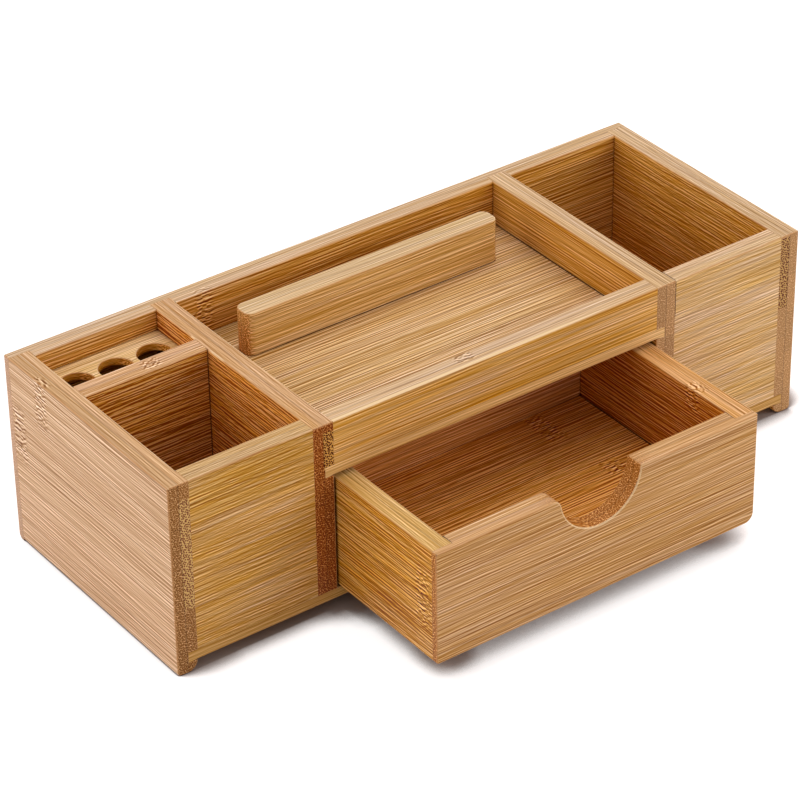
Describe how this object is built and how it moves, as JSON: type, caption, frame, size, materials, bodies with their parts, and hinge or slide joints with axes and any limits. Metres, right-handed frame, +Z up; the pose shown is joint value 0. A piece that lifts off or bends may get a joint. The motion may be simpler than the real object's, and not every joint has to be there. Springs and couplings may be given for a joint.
{
  "type": "desk organizer",
  "caption": "Wooden desk organizer with open bins, a rack with round pen holes, a tray with an upright phone rest strip, and a drawer with a half-round finger notch under the tray.",
  "frame": {"origin": "on the table, under the middle of the bounding box as the organizer stands with its drawer 68 mm open", "axes": "X along the length, with the pen rack at the low end; Y from the front to the back; Z up"},
  "size_m": [0.33, 0.193, 0.093],
  "materials": {
    "bamboo_board": "carbonized two-ply bamboo board, sanded, clear satin lacquer, fine streaks along the board",
    "bamboo_shelf": "one-ply bamboo board, clear satin lacquer",
    "bamboo_drawer": "two-ply bamboo board, clear satin lacquer",
    "bamboo_drawer_floor": "one-ply bamboo board, clear satin lacquer"
  },
  "bodies": {
    "cabinet": {"left_end_panel": "bamboo_board", "right_end_panel": "bamboo_board", "left_divider": "bamboo_board", "right_divider": "bamboo_board", "back_panel": "bamboo_board", "left_front_panel": "bamboo_board", "right_front_panel": "bamboo_board", "tray_rail": "bamboo_board", "phone_rest_strip": "bamboo_board", "cross_divider": "bamboo_board", "bottom_board": "bamboo_shelf", "tray_floor": "bamboo_shelf", "pen_hole_plate": "bamboo_shelf"},
    "drawer": {"drawer_front": "bamboo_drawer", "drawer_left_side": "bamboo_drawer", "drawer_right_side": "bamboo_drawer", "drawer_back": "bamboo_drawer", "drawer_floor": "bamboo_drawer_floor"}
  },
  "joints": [
    {"name": "drawer_slide", "type": "slide", "parent": "cabinet", "child": "drawer", "axis": [0, -1, 0], "range_m": [-0.068, 0.032]}
  ]
}
